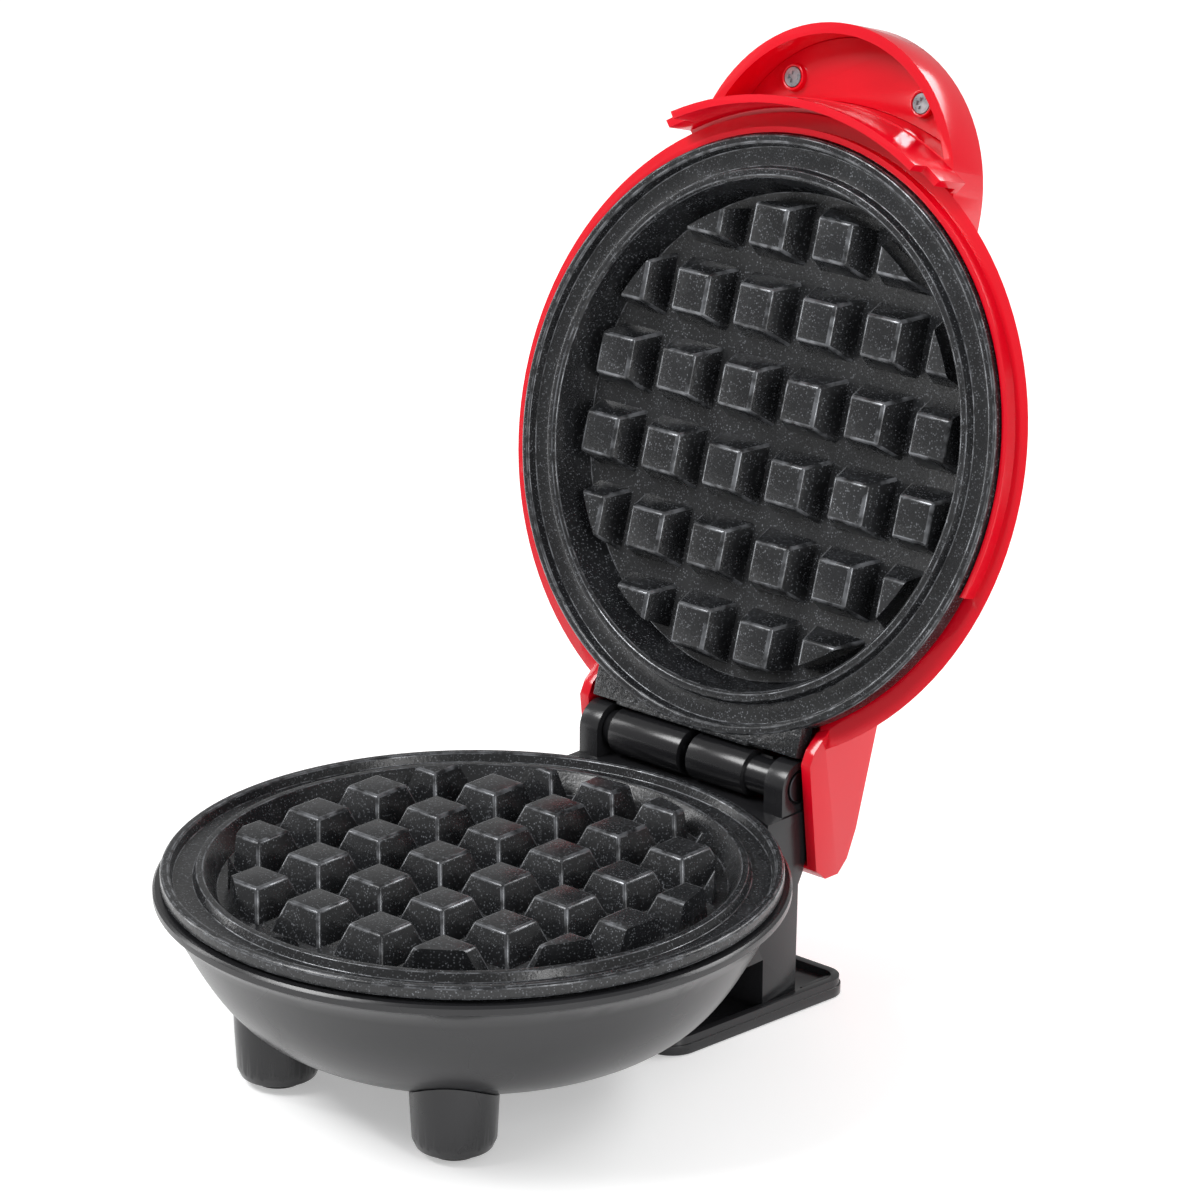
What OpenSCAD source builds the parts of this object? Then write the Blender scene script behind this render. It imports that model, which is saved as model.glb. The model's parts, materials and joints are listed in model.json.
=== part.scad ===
// Mini waffle maker with a hinged red lid, shown open.
// Millimetres. X runs along the hinge, -Y is the handle side, Z is up, the floor is z = 0.
// The origin is on the underside of the rear base plate.

/* [Body] */
// Height of the plane where the two cooking plates meet
base_h = 43; // [41:0.5:50]
// Outer diameter of both cooking plates
plate_d = 120; // [116:1:132]
// How far the bowl rim stands out past the plate
rim_out = 1.5; // [1:0.25:3]
// How far the lid shell stands out past the plate
lid_out = 4.6; // [3:0.2:6]
// How far the front skirt hangs below the upper plate's rim
skirt_drop = 5.4; // [3:0.2:6]
// Height of the lid dome above the meeting plane
lid_h = 28.5; // [28:0.5:36]
// Wall of the plastic shells
wall = 2.3; // [1.8:0.1:3]

/* [Cooking plates] */
// Spacing of the waffle pyramids
pitch = 16.4; // [14:0.2:18]
// Width of a pyramid at its top
pyr_top = 8.4; // [7:0.2:10]
// Width of a pyramid at its foot
pyr_foot = 13.6; // [12:0.2:13.8]
// Height of the pyramids
pyr_h = 6.2; // [5:0.1:6.8]
// Depth of the lower cooking floor
low_deep = 4.5; // [4:0.1:6]
// Depth of the upper cooking floor
up_deep = 9.5; // [9:0.1:11]
// Thickness of the cast plates
plate_t = 2.4; // [2:0.1:3]

/* [Hinge] */
// How far the lid stands open
open_deg = 106; // [96:1:108]
// Hinge axis behind the plate centre
hinge_y = 65.4; // [65.2:0.1:67]
// Hinge axis above the meeting plane
hinge_z = 3.6; // [3.4:0.1:4.4]
// Diameter of the steel hinge pin
pin_d = 4; // [3:0.25:5]
// Radial play of the pin in the turning barrels
pin_play = 0.05; // [0.02:0.01:0.1]
// Diameter of the hinge barrels
barrel_d = 9.6; // [9:0.1:9.8]

/* [Stand] */
// Width of the stand column
col_w = 55; // [54:0.5:56]
// Width of the base plate at its rear
foot_w = 62; // [60:1:68]
// Length of the base plate
foot_len = 50; // [46:1:56]
// Thickness of the base plate
foot_t = 3; // [2.5:0.25:4]
// Height of the bowl underside above the floor
clear_h = 10; // [9.5:0.25:12]
// Distance of the front feet from the centre line
foot_x = 23.5; // [20:0.5:26]
// Distance of the front feet in front of the plate centre
foot_y = 30; // [27:0.5:32]

/* [Handle] */
// Radius of the rounded handle
handle_r = 33.6; // [31:0.2:36]
// Centre of the handle rounding in front of the plate centre
handle_y = 49.8; // [48:0.2:51]

/* [Hidden] */
$fn = 72;
plate_r = plate_d / 2;
bowl_r = plate_r + rim_out;
lid_r = plate_r + lid_out;
close_gap = 0.4;
origin_y = 53;
floor_r = plate_r - 10.8;
field_r = floor_r - 2.2;
rim_top = -3.2;
shell_z = 4.4;
dome_h = lid_h - shell_z;
flange_t = 4;
fit_gap = 0.12;
lip_step = 0.7;
rim_h = 2.2;
tap_d = 2.6;
clear_d = 3;
foot_rear = 78;
long_clear_d = 3.4;
post_d = 9;
core_y = 40;
core_x = 10;
column_y = 60;
column_x = 21;
neck_screw_x = 16;
gland_z = 12;
skirt_in = plate_r + 5.6;
skirt_r = plate_r + 7.6;
panel_z = 13.6;
panel_t = 1.2;
grip_wall = 2.2;
grip_screw_x = 16.5;
grip_screw_y = -70.8;
lamp_y = -34;
leaf_t = 2.6;
leaf_screw_x = [-18.3, 18.3];
leaf_screw_y = 57.4;
pin_r = pin_d / 2;
axis_z = base_h + hinge_z;
barrel_r = barrel_d / 2;
lug_r = 5.2;
lug_in = 22.2;
lug_out = 27;
tail_x = col_w / 2 + 0.8;
post_r = 26;
post_a = [90, 210, 330];
up_post_a = [30, 150, 270];
heater_r = 36;
tube_r = 3.2;
tail_a = [-46, 226];
low_under = -low_deep - plate_t;
up_back = up_deep + plate_t;
boss_h = 7.6;
sheet_t = 0.6;
sheet_z = base_h + low_under - boss_h - sheet_t;
steps = 22;
bowl_top = base_h + rim_top - rim_h;
bowl_h = bowl_top - clear_h;
bowl_m = 7;
bowl_n = 0.62;
dome_m = 6;
dome_n = 0.7;
up_sheet_z = up_deep + 9.5;

// Radius of a shell at height u of h, from full radius r.
function shell_r(r, h, u, m, n) = r * pow(max(0, 1 - pow(u / h, n)), 1 / m);
// Even steps along the curve, ending at the flat of radius about a third.
function bow(k, h) = h * sin(86 * k / steps);
function shell_line(r, h, m, n) = concat([[0, 0]],
    [for (k = [0:steps]) [shell_r(r, h, bow(k, h), m, n), bow(k, h)]], [[0, bow(steps, h)]]);

// Height of the bowl's inside floor.
bowl_floor = bowl_top - bow(steps, bowl_h - wall);

module on_base() { translate([0, -origin_y, 0]) children(); }
// Children are drawn with the lid shut and z = 0 on the upper plate's rim.
module on_lid() {
    translate([0, hinge_y - origin_y, base_h + hinge_z])
        rotate([-open_deg, 0, 0])
            translate([0, -hinge_y, close_gap - hinge_z]) children();
}
module around(list, r) { for (a = list) rotate([0, 0, a]) translate([r, 0, 0]) children(); }
module box(x0, x1, y0, y1, z0, z1) { translate([x0, y0, z0]) cube([x1 - x0, y1 - y0, z1 - z0]); }
// Side profile in Y and Z pulled along X from x0 to x1.
module side(x0, x1, pts) {
    translate([x0, 0, 0]) rotate([90, 0, 90]) linear_extrude(x1 - x0) polygon(pts);
}

// One row of ridges; two crossed rows leave square pyramids.
module ridges(h) {
    for (i = [-4:4]) translate([i * pitch, 0, 0]) rotate([90, 0, 0])
        linear_extrude(plate_d, center = true)
            polygon([[-pyr_foot / 2, -0.8], [-pyr_foot / 2, 0], [-pyr_top / 2, h],
                     [pyr_top / 2, h], [pyr_foot / 2, 0], [pyr_foot / 2, -0.8]]);
}
module pyramids(off_x, off_y) {
    intersection() {
        translate([off_x, 0, 0]) ridges(pyr_h);
        translate([0, off_y, 0]) rotate([0, 0, 90]) ridges(pyr_h);
        translate([0, 0, -0.8]) cylinder(r = field_r, h = pyr_h + 2);
    }
}
// Top outline of a plate's rim from the floor edge out to the rim, height 0 at the rim.
function rim_line(deep) = [
    [floor_r, -deep], [floor_r + 2.0, -0.7], [floor_r + 2.6, -0.15], [floor_r + 3.9, -0.15],
    [floor_r + 4.4, -0.5], [floor_r + 4.6, -1.9], [plate_r - 2.4, -1.9], [plate_r - 1.9, -0.2],
    [plate_r - 1.5, 0], [plate_r - 0.5, 0], [plate_r, -0.5]];

// ---------- base side ----------

module bowl() color([0.10, 0.10, 0.105]) on_base() {
    difference() {
        union() {
            translate([0, 0, bowl_top]) rotate([180, 0, 0]) rotate_extrude($fn = 144)
                polygon(shell_line(bowl_r - lip_step, bowl_h, bowl_m, bowl_n));
            translate([0, 0, bowl_top]) rotate_extrude($fn = 144)
                polygon([[0, -0.01], [bowl_r - lip_step, -0.01], [bowl_r, 0.5],
                         [bowl_r, rim_h - 0.5], [bowl_r - 0.5, rim_h], [0, rim_h]]);
            // neck toward the stand
            box(-22, 22, 38, 54, 17, 35.5);
            box(-15, 15, 28, 50, clear_h, 24);
        }
        intersection() {
            translate([0, 0, bowl_top]) rotate([180, 0, 0]) rotate_extrude($fn = 144)
                polygon(shell_line(bowl_r - lip_step - wall, bowl_h - wall, bowl_m, bowl_n));
            cylinder(r = bowl_r, h = 80);
        }
        translate([0, 0, bowl_top - 0.5]) cylinder(r = bowl_r - lip_step - wall, h = 5, $fn = 144);
        // hollow of the stand neck and its wire way
        box(-19.5, 19.5, 30, 51.5, 19.5, 33);
        box(-8, 8, 50, 55, 22, 30);
        // counterbores and holes for the plate screws, then holes for the foot, neck and core screws
        around(post_a, post_r) translate([0, 0, clear_h - 1]) cylinder(d = 6.6, h = 3.5);
        around(post_a, post_r) translate([0, 0, clear_h - 1]) cylinder(d = long_clear_d, h = 30);
        for (s = [-1, 1]) translate([s * foot_x, -foot_y, clear_h - 1]) cylinder(d = tap_d, h = 12);
        for (s = [-1, 1]) translate([s * neck_screw_x, 50, 31]) rotate([-90, 0, 0])
            cylinder(d = tap_d, h = 5);
        for (s = [-1, 1]) translate([s * core_x, core_y, clear_h - 1]) cylinder(d = tap_d, h = 8);
    }
    // bosses that take the foot screws, kept inside the bowl's skin
    intersection() {
        bowl_solid(-fit_gap);
        for (s = [-1, 1]) translate([s * foot_x, -foot_y, clear_h]) difference() {
            translate([0, 0, 2.4]) cylinder(d = 8, h = 9.6);
            translate([0, 0, -1]) cylinder(d = tap_d, h = 12);
        }
    }
    // posts that carry the reflector and plate
    intersection() {
        difference() {
            around(post_a, post_r) translate([0, 0, clear_h + 0.5])
                cylinder(d = post_d, h = sheet_z - clear_h - 0.5);
            around(post_a, post_r) translate([0, 0, clear_h - 1]) cylinder(d = 6.6, h = 3.5);
            around(post_a, post_r) translate([0, 0, clear_h - 1]) cylinder(d = long_clear_d, h = 40);
        }
        cylinder(r = bowl_r, h = 60);
    }
}

module lower_plate() color([0.13, 0.13, 0.14]) on_base() translate([0, 0, base_h]) {
    difference() {
        union() {
            rotate_extrude($fn = 144) polygon(concat([[0, -low_deep]], rim_line(low_deep),
                [[plate_r, -2.5], [plate_r - 2, -2.7], [plate_r - 2.2, -4.3], [floor_r + 3.2, -4.3],
                 [floor_r + 1.2, low_under], [0, low_under]]));
            around(post_a, post_r) translate([0, 0, low_under - boss_h])
                cylinder(d = post_d, h = boss_h + 0.5);
            translate([0, 0, -low_deep]) pyramids(-0.35 * pitch, -0.2 * pitch);
        }
        around(post_a, post_r) translate([0, 0, low_under - boss_h - 1])
            cylinder(d = tap_d, h = boss_h + 0.4);
    }
}

module heater(r) {
    rotate([0, 0, -50]) rotate_extrude(angle = 280, $fn = 96) translate([r, 0]) circle(r = tube_r, $fn = 32);
}
// Two cold ends that leave the ring at right angles.
module heater_tails(r, len, dir) {
    for (a = tail_a) rotate([0, 0, a]) translate([r, 0, dir < 0 ? -len : 0])
        cylinder(r = tube_r - 1, h = len, $fn = 32);
}
module lower_heater() color([0.45, 0.43, 0.40]) on_base()
    translate([0, 0, base_h + low_under - tube_r]) rotate([0, 0, 180]) {
        heater(heater_r);
        heater_tails(heater_r, 6.4, -1);
    }

module lower_reflector() color([0.72, 0.73, 0.74]) on_base() translate([0, 0, sheet_z]) {
    difference() {
        union() {
            cylinder(r = 43, h = sheet_t, $fn = 96);
            difference() {
                cylinder(r = 43, h = 3, $fn = 96);
                translate([0, 0, -1]) cylinder(r = 43 - sheet_t, h = 5, $fn = 96);
            }
        }
        around(post_a, post_r) translate([0, 0, -1]) cylinder(d = long_clear_d, h = 5);
        rotate([0, 0, 180]) around(tail_a, heater_r) translate([0, 0, -1]) cylinder(r = tube_r + 1, h = 5);
        for (a = [0:45:315]) rotate([0, 0, a + 10]) translate([14, 0, -1]) cylinder(d = 5, h = 5, $fn = 32);
    }
}

// Cross-recess screw with its head under z = 0 and its shank along +Z.
module pan_screw(head_d, head_h, d, len) {
    difference() {
        translate([0, 0, -head_h]) cylinder(d = head_d, h = head_h, $fn = 32);
        for (a = [0, 90]) rotate([0, 0, a]) translate([-head_d * 0.3, -0.45, -head_h - 0.5])
            cube([head_d * 0.6, 0.9, head_h * 0.4 + 0.5]);
    }
    cylinder(d = d, h = len, $fn = 32);
}

module plate_screws() color([0.6, 0.6, 0.62]) on_base()
    around(post_a, post_r) translate([0, 0, clear_h + 2.5])
        pan_screw(5.6, 1.8, tap_d, base_h + low_under - 3.2 - clear_h - 2.5);

module terminal_block() color([0.85, 0.84, 0.80]) on_base() {
    difference() {
        box(-9, 9, 0, 10, bowl_floor, bowl_floor + 7);
        for (x = [-5.5, 0, 5.5]) translate([x, 5, bowl_floor + 3]) cylinder(d = 3.2, h = 6, $fn = 32);
        for (x = [-5.5, 0, 5.5]) translate([x, -1, bowl_floor + 3.4]) rotate([-90, 0, 0])
            cylinder(d = 2.4, h = 12, $fn = 32);
    }
}

module earth_lug() color([0.75, 0.62, 0.30]) on_base() translate([-14, -14, bowl_floor]) {
    difference() {
        union() {
            cylinder(d = 7, h = 1);
            box(-1.8, 1.8, 0, 9, 0, 1);
            box(-1.8, 1.8, 8, 9, 0, 5);
        }
        translate([0, 0, -1]) cylinder(d = 3, h = 3);
    }
    translate([0, 0, 1]) cylinder(d = 5, h = 1.6, $fn = 32);
}

module front_foot() {
    difference() {
        rotate_extrude()
            polygon([[0, 1], [5.6, 1], [7.4, 1.6], [8.1, 3.2], [8.5, 11], [8.8, 24], [0, 24]]);
        translate([0, 0, 0.4]) cylinder(d = 9.4, h = 1.5);
        translate([0, 0, 1]) cylinder(d = 5.4, h = 4.6);
        translate([0, 0, 1]) cylinder(d = clear_d, h = 30);
    }
}
// Everything the bowl and its foot bosses fill, so that the feet sit on the curved underside.
module bowl_solid(grow) {
    translate([0, 0, bowl_top]) rotate([180, 0, 0]) rotate_extrude($fn = 144)
        polygon(shell_line(bowl_r - lip_step + grow, bowl_h + grow, bowl_m, bowl_n));
    translate([0, 0, bowl_top - 0.01]) cylinder(r = bowl_r + grow, h = 8, $fn = 144);
}
module foot_at(x) on_base() difference() {
    translate([x, -foot_y, 0]) front_foot();
    bowl_solid(fit_gap);
}
module foot_left() color([0.08, 0.08, 0.085]) foot_at(-foot_x);
module foot_right() color([0.08, 0.08, 0.085]) foot_at(foot_x);

module foot_pads() color([0.16, 0.16, 0.17]) on_base() {
    for (s = [-1, 1]) translate([s * foot_x, -foot_y, 0]) difference() {
        cylinder(d = 9.2, h = 1.9);
        translate([0, 0, -1]) cylinder(d = 6, h = 1.6);
    }
}
module foot_screws() color([0.6, 0.6, 0.62]) on_base()
    for (s = [-1, 1]) translate([s * foot_x, -foot_y, 5.6]) pan_screw(5, 1.8, tap_d, 12);

// Outline of the base plate, narrower at the front, with rounded corners.
module foot_outline(inset) {
    hull() for (s = [-1, 1]) {
        translate([s * (foot_w / 2 - 5), foot_rear - 5]) circle(r = 5 - inset);
        translate([s * (foot_w / 2 - 9.5), foot_rear - foot_len + 6]) circle(r = 6 - inset);
    }
}
module base_plate() color([0.09, 0.09, 0.095]) on_base() {
    difference() {
        union() {
            linear_extrude(foot_t - 1) foot_outline(0);
            difference() {
                linear_extrude(foot_t + 0.6) foot_outline(0.3);
                translate([0, 0, foot_t - 1]) linear_extrude(5) foot_outline(2);
            }
            // raised ribs on the rear tongue
            for (s = [-1, 1]) {
                translate([s * 15, 72, 0]) rotate([0, 0, s * 38]) box(-0.6, 0.6, -3.5, 4.5, 1, foot_t);
                translate([s * 15, 72, 0]) rotate([0, 0, -s * 38]) box(-0.6, 0.6, -0.5, 4.5, 1, foot_t);
                translate([s * 27.5 - 0.6, 67, 1]) cube([1.2, 8.5, foot_t - 1]);
            }
            // pads that the column and the neck core stand on
            box(-col_w / 2, col_w / 2, 54.5, 65, 1, foot_t);
            box(-14, 14, 32, 48, 1, foot_t);
        }
        for (s = [-1, 1], at = [[column_x, column_y], [core_x, core_y]]) translate([s * at[0], at[1], -1]) {
            cylinder(d = clear_d, h = 6);
            cylinder(d = 6, h = 2.2);
        }
        for (s = [-1, 1]) translate([s * 24, 72.5, -1]) cylinder(d = 6, h = 1.8);
    }
}
module base_pads() color([0.16, 0.16, 0.17]) on_base()
    for (s = [-1, 1]) translate([s * 24, 72.5, 0]) difference() {
        cylinder(d = 5.9, h = 0.8);
        translate([0, 0, -1]) cylinder(d = 3, h = 1.4);
    }

// Core between the base plate and the bowl; the cord would wind around it.
module wrap_core() color([0.09, 0.09, 0.095]) on_base() difference() {
    union() {
        box(-13, 13, core_y - 8, core_y + 8, foot_t, clear_h);
        for (s = [-1, 1]) translate([s * 13, core_y, foot_t]) cylinder(d = 16, h = clear_h - foot_t);
    }
    for (s = [-1, 1]) translate([s * core_x, core_y, 0]) cylinder(d = clear_d, h = 20);
    box(-5, 5, 34, 46, foot_t + 1.5, clear_h + 1);
}
module core_screws() color([0.6, 0.6, 0.62]) on_base()
    for (s = [-1, 1]) translate([s * core_x, core_y, 1.2]) pan_screw(5, 1.1, tap_d, clear_h + 4.5);

module column() color([0.09, 0.09, 0.095]) on_base() {
    difference() {
        union() {
            side(-col_w / 2, col_w / 2, [[54.5, foot_t], [54.5, 13], [46, 13], [46, 38], [52, 41.4],
                [69.3, 41.4], [70.2, 40.4], [69, 37], [66.4, 28.5], [65, 26], [64.6, foot_t]]);
            for (x = [-lug_out, lug_in]) {
                translate([x, hinge_y, axis_z]) rotate([0, 90, 0])
                    cylinder(r = lug_r, h = lug_out - lug_in, $fn = 64);
                box(x, x + lug_out - lug_in, hinge_y - lug_r, hinge_y + lug_r - 1, 40, axis_z);
            }
        }
        // inside of the column, open at the bottom
        box(-col_w / 2 + wall, col_w / 2 - wall, 57, 62.2, foot_t - 1, 38.6);
        // room for the bowl's neck and for the bowl itself
        box(-22.3, 22.3, 40, 54.02, 10, 50);
        bowl_solid(0.3);
        box(-8, 8, 50, 58, 22, 30);
        for (s = [-1, 1]) translate([s * neck_screw_x, 50, 31]) rotate([-90, 0, 0])
            cylinder(d = clear_d, h = 10);
        for (s = [-1, 1]) translate([s * column_x, column_y, foot_t - 1]) cylinder(d = tap_d, h = 12);
        // bore and sunk seats for the hinge pin
        translate([-40, hinge_y, axis_z]) rotate([0, 90, 0]) cylinder(r = pin_r + 0.02, h = 80, $fn = 48);
        for (s = [-1, 1]) translate([s * (lug_out - 0.7) - 1 + s, hinge_y, axis_z]) rotate([0, 90, 0])
            cylinder(r = 3.6, h = 2, $fn = 48);
        // way for the lid wires and the gland in the rear wall
        translate([0, 59.6, 36]) cylinder(d = 6, h = 8);
        translate([0, column_y, gland_z]) rotate([-90, 0, 0]) cylinder(d = 8.02, h = 10);
    }
    // screw posts inside the column
    for (s = [-1, 1]) difference() {
        box(s * column_x - 3, s * column_x + 3, 56.5, 62.6, foot_t, 14);
        translate([s * column_x, column_y, foot_t - 1]) cylinder(d = tap_d, h = 10);
    }
}
module column_screws() color([0.6, 0.6, 0.62]) on_base() {
    for (s = [-1, 1]) translate([s * column_x, column_y, 1.2]) pan_screw(5, 1.1, tap_d, 10);
    for (s = [-1, 1]) translate([s * neck_screw_x, 57, 31]) rotate([90, 0, 0]) pan_screw(5, 1.8, tap_d, 5.5);
}
module cord_gland() color([0.07, 0.07, 0.07]) on_base() translate([0, 0, gland_z]) rotate([-90, 0, 0]) {
    difference() {
        union() {
            translate([0, 0, 60.5]) cylinder(d = 11, h = 1.6);
            translate([0, 0, 61.9]) cylinder(d = 8, h = 4);
            translate([0, 0, 64.9]) cylinder(d1 = 10.5, d2 = 8, h = 3);
        }
        translate([0, 0, 58]) cylinder(d = 5, h = 12);
    }
}

// ---------- hinge ----------

module hinge_pin() color([0.7, 0.7, 0.72]) on_base() translate([0, hinge_y, axis_z]) rotate([0, 90, 0]) {
    translate([0, 0, -lug_out + 0.7]) cylinder(r = pin_r, h = 2 * lug_out - 1.4, $fn = 48);
    translate([0, 0, lug_out - 0.7]) cylinder(r = 3.1, h = 0.9, $fn = 48);
    translate([0, 0, -lug_out - 0.2]) cylinder(r = 3.1, h = 0.9, $fn = 48);
}
module barrel(x0, x1, r) translate([x0, hinge_y, hinge_z]) rotate([0, 90, 0])
    cylinder(r = r, h = x1 - x0, $fn = 64);
module hinge_leaf() color([0.08, 0.08, 0.085]) on_lid() translate([0, 0, -close_gap]) {
    difference() {
        union() {
            barrel(-19.6, -1.2, barrel_r);
            barrel(1.2, 15.6, barrel_r);
            barrel(-21.9, -19.6, barrel_r - 1);
            barrel(15.6, 21.9, barrel_r - 1);
            translate([0, 0, close_gap + flange_t]) difference() {
                union() {
                    box(-19.6, -1.2, 50, hinge_y, 0, leaf_t);
                    box(1.2, 15.6, 50, hinge_y, 0, leaf_t);
                    box(-21.4, 21.4, 50, 59.6, 0, leaf_t);
                }
                translate([0, 0, -1]) cylinder(r = plate_r - 1.8, h = 5, $fn = 144);
            }
            // step mark on the small end
            box(16.4, 19.4, hinge_y - barrel_r + 0.6, hinge_y, hinge_z - 0.4, hinge_z + 2);
        }
        barrel(-30, 30, pin_r + pin_play);
        for (x = leaf_screw_x) translate([x, leaf_screw_y, 0]) cylinder(d = clear_d, h = 12);
        // moulding mark
        translate([7, hinge_y - barrel_r - 0.2, hinge_z + 1.5]) rotate([-90, 0, 0])
            cylinder(d = 1.4, h = 0.8, $fn = 24);
    }
}
module leaf_screws() color([0.6, 0.6, 0.62]) on_lid()
    for (x = leaf_screw_x) translate([x, leaf_screw_y, flange_t + leaf_t]) rotate([180, 0, 0])
        pan_screw(4.4, 1.6, tap_d, 5.4);

// ---------- lid side ----------

module upper_plate() color([0.13, 0.13, 0.14]) on_lid() difference() {
    union() {
        rotate([180, 0, 0]) rotate_extrude($fn = 144) polygon(concat([[0, -up_deep]], rim_line(up_deep),
            [[plate_r, -3.9], [plate_r - 2.6, -4], [plate_r - 2.8, -4.9], [floor_r + 3.6, -5.4],
             [floor_r + 2.2, -up_back + 1.6], [floor_r, -up_back], [0, -up_back]]));
        around(up_post_a, post_r) translate([0, 0, up_back - 0.5])
            cylinder(d = post_d, h = up_sheet_z - up_back + 0.5);
        translate([0, 0, up_deep]) rotate([180, 0, 0]) pyramids(pitch / 2, pitch / 2);
        // rear flange that carries the hinge leaf
        difference() {
            union() {
                box(-27, 27, 44, 59.7, 0.2, flange_t);
                box(-20.5, 14.5, 50, 60.3, 0.2, flange_t);
            }
            translate([0, 0, -1]) cylinder(r = plate_r - 1, h = 8, $fn = 144);
        }
    }
    around(up_post_a, post_r) translate([0, 0, up_back + 1]) cylinder(d = 2.62, h = 12);
    for (x = leaf_screw_x) translate([x, leaf_screw_y, 1]) cylinder(d = tap_d, h = 5);
}
module upper_heater() color([0.45, 0.43, 0.40]) on_lid()
    translate([0, 0, up_back + tube_r]) rotate([0, 0, 180]) {
        heater(heater_r);
        heater_tails(heater_r, 6.4, 1);
    }
module upper_reflector() color([0.72, 0.73, 0.74]) on_lid() translate([0, 0, up_sheet_z]) difference() {
    union() {
        cylinder(r = 42, h = sheet_t, $fn = 96);
        translate([0, 0, -2.4]) difference() {
            cylinder(r = 42, h = 2.6, $fn = 96);
            translate([0, 0, -1]) cylinder(r = 42 - sheet_t, h = 5, $fn = 96);
        }
    }
    around(up_post_a, post_r) translate([0, 0, -4]) cylinder(d = clear_d, h = 8);
    rotate([0, 0, 180]) around(tail_a, heater_r) translate([0, 0, -4]) cylinder(r = tube_r + 1, h = 8);
    for (a = [0:45:315]) rotate([0, 0, a]) translate([34, 0, -1]) cylinder(d = 4, h = 5, $fn = 32);
    translate([0, 0, -1]) cylinder(d = 13, h = 4);
}
module lid_studs() color([0.6, 0.6, 0.62]) on_lid()
    around(up_post_a, post_r) translate([0, 0, up_back + 1])
        cylinder(d = tap_d, h = up_sheet_z - up_back + 3, $fn = 32);

module thermostat() color([0.20, 0.19, 0.18]) on_lid() translate([0, 0, up_back]) {
    cylinder(d = 11, h = 5.4);
    translate([0, 0, 5.4]) cylinder(d = 9, h = 1.6);
    for (s = [-1, 1]) box(s * 3 - 0.4, s * 3 + 0.4, -1.6, 1.6, 6.5, 8.8);
}
module thermal_fuse() color([0.80, 0.78, 0.72]) on_lid()
    translate([0, 14, up_back + 1.7]) rotate([0, 90, 0]) {
        translate([0, 0, -6]) cylinder(r = 1.7, h = 12, $fn = 32);
        translate([0, 0, -11]) cylinder(r = 0.6, h = 22, $fn = 24);
    }

// Side outline of the tail behind the hinge, and of its hollow, in Y and Z.
tail_line = [[48, 8], [57.5, 1.2], [60.5, 0.6], [81.8, 9.4], [83.4, 12.8], [82.4, 16.6], [79.2, 18.6],
    [73, 19.6], [46, 19.9]];
tail_hollow = [[40, -4], [60, -4], [86, 4], [80.6, 10.2], [81.2, 13], [80.2, 15.2], [78, 16.5],
    [73, 17.4], [46, 17.7], [40, 17]];

module dome_solid(cut) {
    translate([0, 0, shell_z]) rotate_extrude($fn = 144)
        polygon(shell_line(lid_r - cut, dome_h - cut, dome_m, dome_n));
}
// Round-ended grip from z0 to z1, drawn in from its full outline by inset.
module handle_body(inset, z0, z1) {
    r = handle_r - inset;
    translate([0, -handle_y, z0]) cylinder(r = r, h = z1 - z0, $fn = 128);
    box(-r, r, -handle_y, -30, z0, z1);
}
// Wedge of the round outline that the skirt takes up, out to x = reach at the skirt's radius.
module skirt_wedge(reach, z0, z1) {
    far_y = -20 - 1.6 * (sqrt(skirt_r * skirt_r - reach * reach) - 20);
    translate([0, 0, z0]) linear_extrude(z1 - z0)
        polygon([[0, -20], [1.6 * reach, far_y], [0, -130], [-1.6 * reach, far_y]]);
}
module handle_screw_seats() {
    for (s = [-1, 1]) translate([s * grip_screw_x, grip_screw_y, 0]) children();
}
module lid_shell() color([0.80, 0.02, 0.05]) on_lid() {
    difference() {
        union() {
            dome_solid(0);
            handle_body(0, 6.2, 16);
            handle_body(1.2, 15.9, 17);
            side(-tail_x - wall, tail_x + wall, tail_line);
            // front skirt in front of the plates, stepped at both ends
            intersection() {
                rotate_extrude($fn = 144) polygon([[skirt_in, -skirt_drop], [skirt_r - 0.4, -skirt_drop],
                    [skirt_r, 6.4], [54, 9.4], [54, 6.6], [skirt_in, 5.2]]);
                union() {
                    skirt_wedge(31.6, -10, 20);
                    skirt_wedge(35.4, -1.6, 20);
                }
            }
        }
        difference() {
            dome_solid(wall);
            translate([0, 0, -20]) cylinder(r = 80, h = 20 + shell_z + 0.01);
        }
        translate([0, 0, -1]) cylinder(r = plate_r - 1.6, h = shell_z + 3, $fn = 144);
        translate([0, 0, -1]) cylinder(r = plate_r + 1, h = shell_z + 1, $fn = 144);
        // hollow under the handle, outside the dome
        difference() {
            handle_body(grip_wall, -8, panel_z + panel_t);
            dome_solid(0);
            translate([0, 0, -20]) cylinder(r = skirt_r + 0.3, h = 40, $fn = 144);
        }
        // hollow of the tail, open toward the hinge
        side(-tail_x, tail_x, tail_hollow);
        // lamp hole and screw holes of the handle panel
        translate([0, lamp_y, 10]) cylinder(d = 6, h = 20);
        handle_screw_seats() translate([0, 0, 10]) cylinder(d = 2.4, h = 6.2, $fn = 32);
    }
    // low ring round the front of the upper plate
    difference() {
        translate([0, 0, 1.6]) cylinder(r = plate_r + 1.6, h = shell_z - 1.5, $fn = 144);
        translate([0, 0, -1]) cylinder(r = plate_r + 0.4, h = 10, $fn = 144);
        box(-80, 80, 20, 80, -1, 10);
    }
    // posts under the dome for the studs
    intersection() {
        dome_solid(0.5);
        around(up_post_a, post_r) difference() {
            translate([0, 0, up_sheet_z + sheet_t]) cylinder(d = 8, h = 20);
            translate([0, 0, up_sheet_z - 2]) cylinder(d = tap_d, h = 6.4, $fn = 32);
        }
    }
}
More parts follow.
